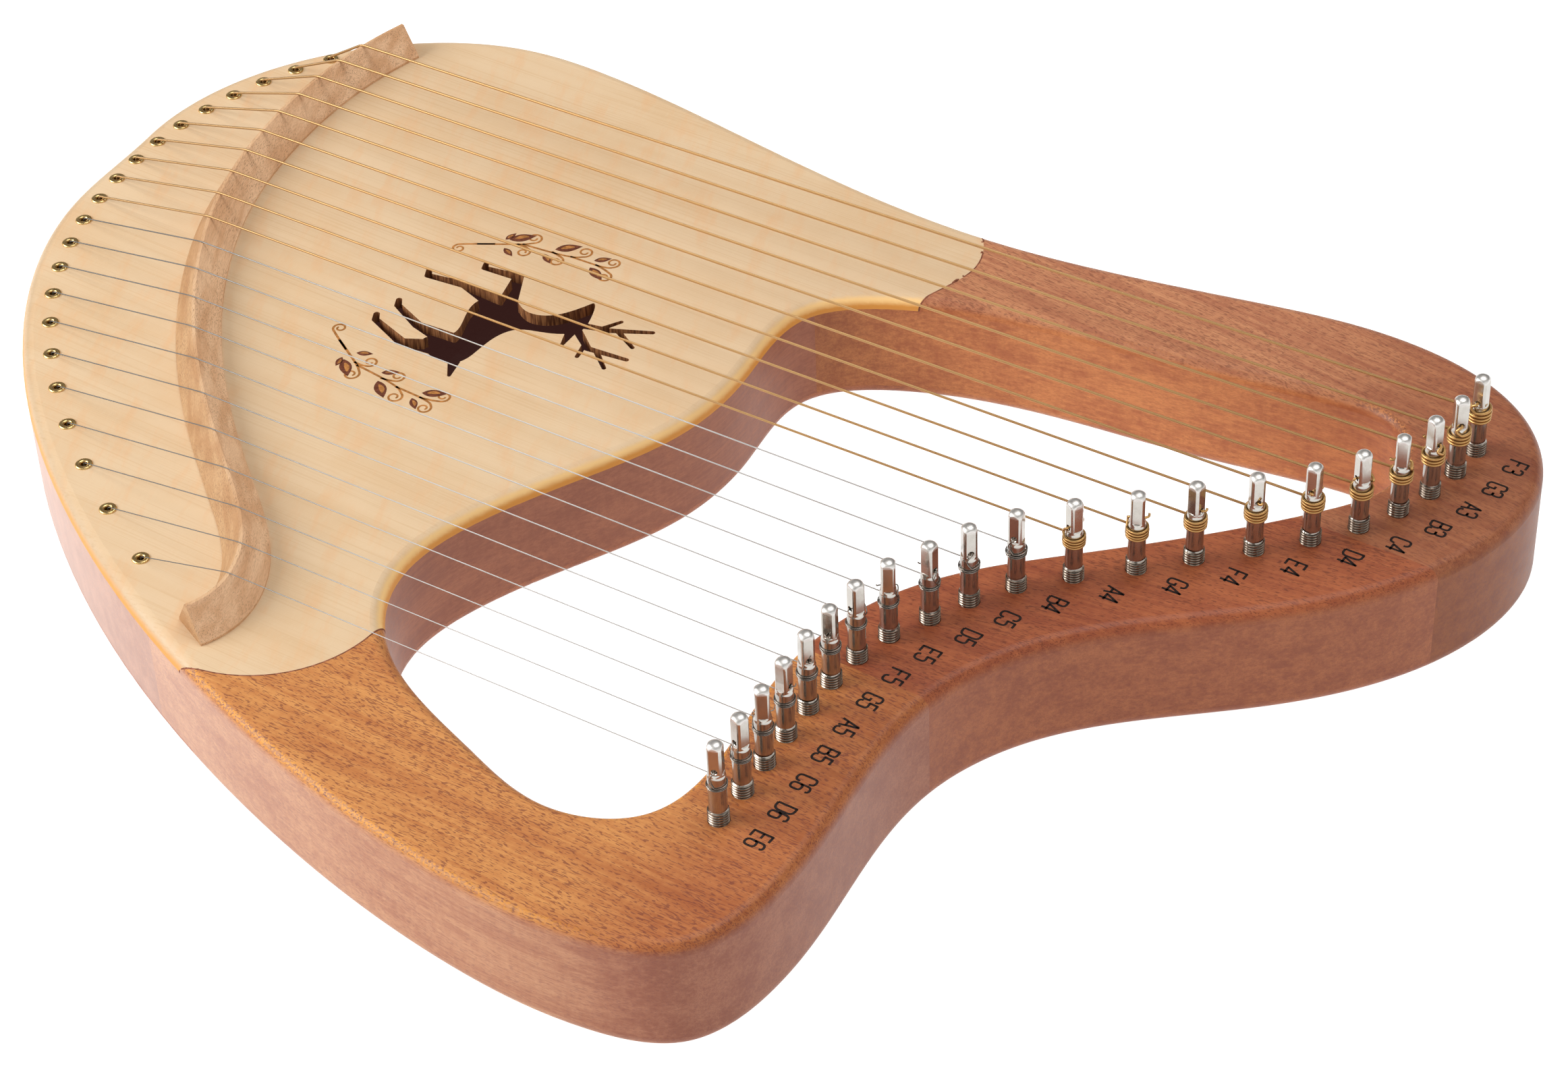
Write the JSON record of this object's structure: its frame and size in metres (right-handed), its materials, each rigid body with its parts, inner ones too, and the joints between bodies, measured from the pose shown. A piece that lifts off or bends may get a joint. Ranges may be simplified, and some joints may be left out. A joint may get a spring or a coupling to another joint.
{
  "type": "lyre harp",
  "caption": "Small wooden lyre harp lying on its back: hollow sound box with a curved bridge, open string window and a curved yoke of turning metal tuning pins.",
  "frame": {"origin": "middle of the bounding box, on the plane the back rests on", "axes": "+Z out of the soundboard, +Y along the strings towards the tuning pins, +X from the bass side to the treble side"},
  "size_m": [0.3425, 0.4744, 0.066],
  "materials": {
    "mahogany": "satin lacquered mahogany, orange brown",
    "mahogany_red": "satin lacquered mahogany, red brown",
    "mahogany_dark": "satin lacquered mahogany, brown",
    "spruce": "matt lacquered spruce",
    "beech": "bare sanded beech",
    "brass": "polished",
    "nickel": "bright nickel plate",
    "bronze_wound": "bronze winding",
    "steel_wire": "plain steel wire"
  },
  "bodies": {
    "harp_body": {"treble_arm": "mahogany", "bass_arm": "mahogany_dark", "yoke": "mahogany_red", "crossbar": "mahogany_dark", "tail_block": "mahogany_dark", "soundboard": "spruce", "back_plate": "mahogany", "bridge": "beech", "bridge_plate": "beech", "bass_brace": "spruce", "treble_brace": "spruce", "back_brace": "spruce", "eyelets": "brass", "ball_ends": "brass", "string_F3": "bronze_wound", "string_G3": "bronze_wound", "string_A3": "bronze_wound", "string_B3": "bronze_wound", "string_C4": "bronze_wound", "string_D4": "bronze_wound", "string_E4": "bronze_wound", "string_F4": "bronze_wound", "string_G4": "bronze_wound", "string_A4": "bronze_wound", "string_B4": "steel_wire", "string_C5": "steel_wire", "string_D5": "steel_wire", "string_E5": "steel_wire", "string_F5": "steel_wire", "string_G5": "steel_wire", "string_A5": "steel_wire", "string_B5": "steel_wire", "string_C6": "steel_wire", "string_D6": "steel_wire", "string_E6": "steel_wire"},
    "pin_F3": {"tuning_pin_F3": "nickel"},
    "pin_G3": {"tuning_pin_G3": "nickel"},
    "pin_A3": {"tuning_pin_A3": "nickel"},
    "pin_B3": {"tuning_pin_B3": "nickel"},
    "pin_C4": {"tuning_pin_C4": "nickel"},
    "pin_D4": {"tuning_pin_D4": "nickel"},
    "pin_E4": {"tuning_pin_E4": "nickel"},
    "pin_F4": {"tuning_pin_F4": "nickel"},
    "pin_G4": {"tuning_pin_G4": "nickel"},
    "pin_A4": {"tuning_pin_A4": "nickel"},
    "pin_B4": {"tuning_pin_B4": "nickel"},
    "pin_C5": {"tuning_pin_C5": "nickel"},
    "pin_D5": {"tuning_pin_D5": "nickel"},
    "pin_E5": {"tuning_pin_E5": "nickel"},
    "pin_F5": {"tuning_pin_F5": "nickel"},
    "pin_G5": {"tuning_pin_G5": "nickel"},
    "pin_A5": {"tuning_pin_A5": "nickel"},
    "pin_B5": {"tuning_pin_B5": "nickel"},
    "pin_C6": {"tuning_pin_C6": "nickel"},
    "pin_D6": {"tuning_pin_D6": "nickel"},
    "pin_E6": {"tuning_pin_E6": "nickel"}
  },
  "joints": [
    {"name": "pin_F3_turn", "type": "hinge", "parent": "harp_body", "child": "pin_F3", "pos_m": [-0.1305, 0.213, 0.038], "axis": [0, 0, -1], "range_deg": [-1350, 45]},
    {"name": "pin_G3_turn", "type": "hinge", "parent": "harp_body", "child": "pin_G3", "pos_m": [-0.1182, 0.2124, 0.038], "axis": [0, 0, -1], "range_deg": [-1350, 45]},
    {"name": "pin_A3_turn", "type": "hinge", "parent": "harp_body", "child": "pin_A3", "pos_m": [-0.1059, 0.21021, 0.038], "axis": [0, 0, -1], "range_deg": [-1350, 45]},
    {"name": "pin_B3_turn", "type": "hinge", "parent": "harp_body", "child": "pin_B3", "pos_m": [-0.0936, 0.20619, 0.038], "axis": [0, 0, -1], "range_deg": [-1350, 45]},
    {"name": "pin_C4_turn", "type": "hinge", "parent": "harp_body", "child": "pin_C4", "pos_m": [-0.0813, 0.19977, 0.038], "axis": [0, 0, -1], "range_deg": [-1350, 45]},
    {"name": "pin_D4_turn", "type": "hinge", "parent": "harp_body", "child": "pin_D4", "pos_m": [-0.069, 0.19067, 0.038], "axis": [0, 0, -1], "range_deg": [-1350, 45]},
    {"name": "pin_E4_turn", "type": "hinge", "parent": "harp_body", "child": "pin_E4", "pos_m": [-0.0567, 0.17889, 0.038], "axis": [0, 0, -1], "range_deg": [-1350, 45]},
    {"name": "pin_F4_turn", "type": "hinge", "parent": "harp_body", "child": "pin_F4", "pos_m": [-0.0444, 0.1662, 0.038], "axis": [0, 0, -1], "range_deg": [-1350, 45]},
    {"name": "pin_G4_turn", "type": "hinge", "parent": "harp_body", "child": "pin_G4", "pos_m": [-0.0321, 0.1542, 0.038], "axis": [0, 0, -1], "range_deg": [-1350, 45]},
    {"name": "pin_A4_turn", "type": "hinge", "parent": "harp_body", "child": "pin_A4", "pos_m": [-0.0198, 0.14079, 0.038], "axis": [0, 0, -1], "range_deg": [-1350, 45]},
    {"name": "pin_B4_turn", "type": "hinge", "parent": "harp_body", "child": "pin_B4", "pos_m": [-0.0075, 0.12917, 0.038], "axis": [0, 0, -1], "range_deg": [-1350, 45]},
    {"name": "pin_C5_turn", "type": "hinge", "parent": "harp_body", "child": "pin_C5", "pos_m": [0.0048, 0.1211, 0.038], "axis": [0, 0, -1], "range_deg": [-1350, 45]},
    {"name": "pin_D5_turn", "type": "hinge", "parent": "harp_body", "child": "pin_D5", "pos_m": [0.0171, 0.11565, 0.038], "axis": [0, 0, -1], "range_deg": [-1350, 45]},
    {"name": "pin_E5_turn", "type": "hinge", "parent": "harp_body", "child": "pin_E5", "pos_m": [0.0294, 0.10985, 0.038], "axis": [0, 0, -1], "range_deg": [-1350, 45]},
    {"name": "pin_F5_turn", "type": "hinge", "parent": "harp_body", "child": "pin_F5", "pos_m": [0.0417, 0.10708, 0.038], "axis": [0, 0, -1], "range_deg": [-1350, 45]},
    {"name": "pin_G5_turn", "type": "hinge", "parent": "harp_body", "child": "pin_G5", "pos_m": [0.054, 0.1065, 0.038], "axis": [0, 0, -1], "range_deg": [-1350, 45]},
    {"name": "pin_A5_turn", "type": "hinge", "parent": "harp_body", "child": "pin_A5", "pos_m": [0.0663, 0.10684, 0.038], "axis": [0, 0, -1], "range_deg": [-1350, 45]},
    {"name": "pin_B5_turn", "type": "hinge", "parent": "harp_body", "child": "pin_B5", "pos_m": [0.0786, 0.10772, 0.038], "axis": [0, 0, -1], "range_deg": [-1350, 45]},
    {"name": "pin_C6_turn", "type": "hinge", "parent": "harp_body", "child": "pin_C6", "pos_m": [0.0909, 0.10887, 0.038], "axis": [0, 0, -1], "range_deg": [-1350, 45]},
    {"name": "pin_D6_turn", "type": "hinge", "parent": "harp_body", "child": "pin_D6", "pos_m": [0.1032, 0.10996, 0.038], "axis": [0, 0, -1], "range_deg": [-1350, 45]},
    {"name": "pin_E6_turn", "type": "hinge", "parent": "harp_body", "child": "pin_E6", "pos_m": [0.1155, 0.1105, 0.038], "axis": [0, 0, -1], "range_deg": [-1350, 45]}
  ]
}
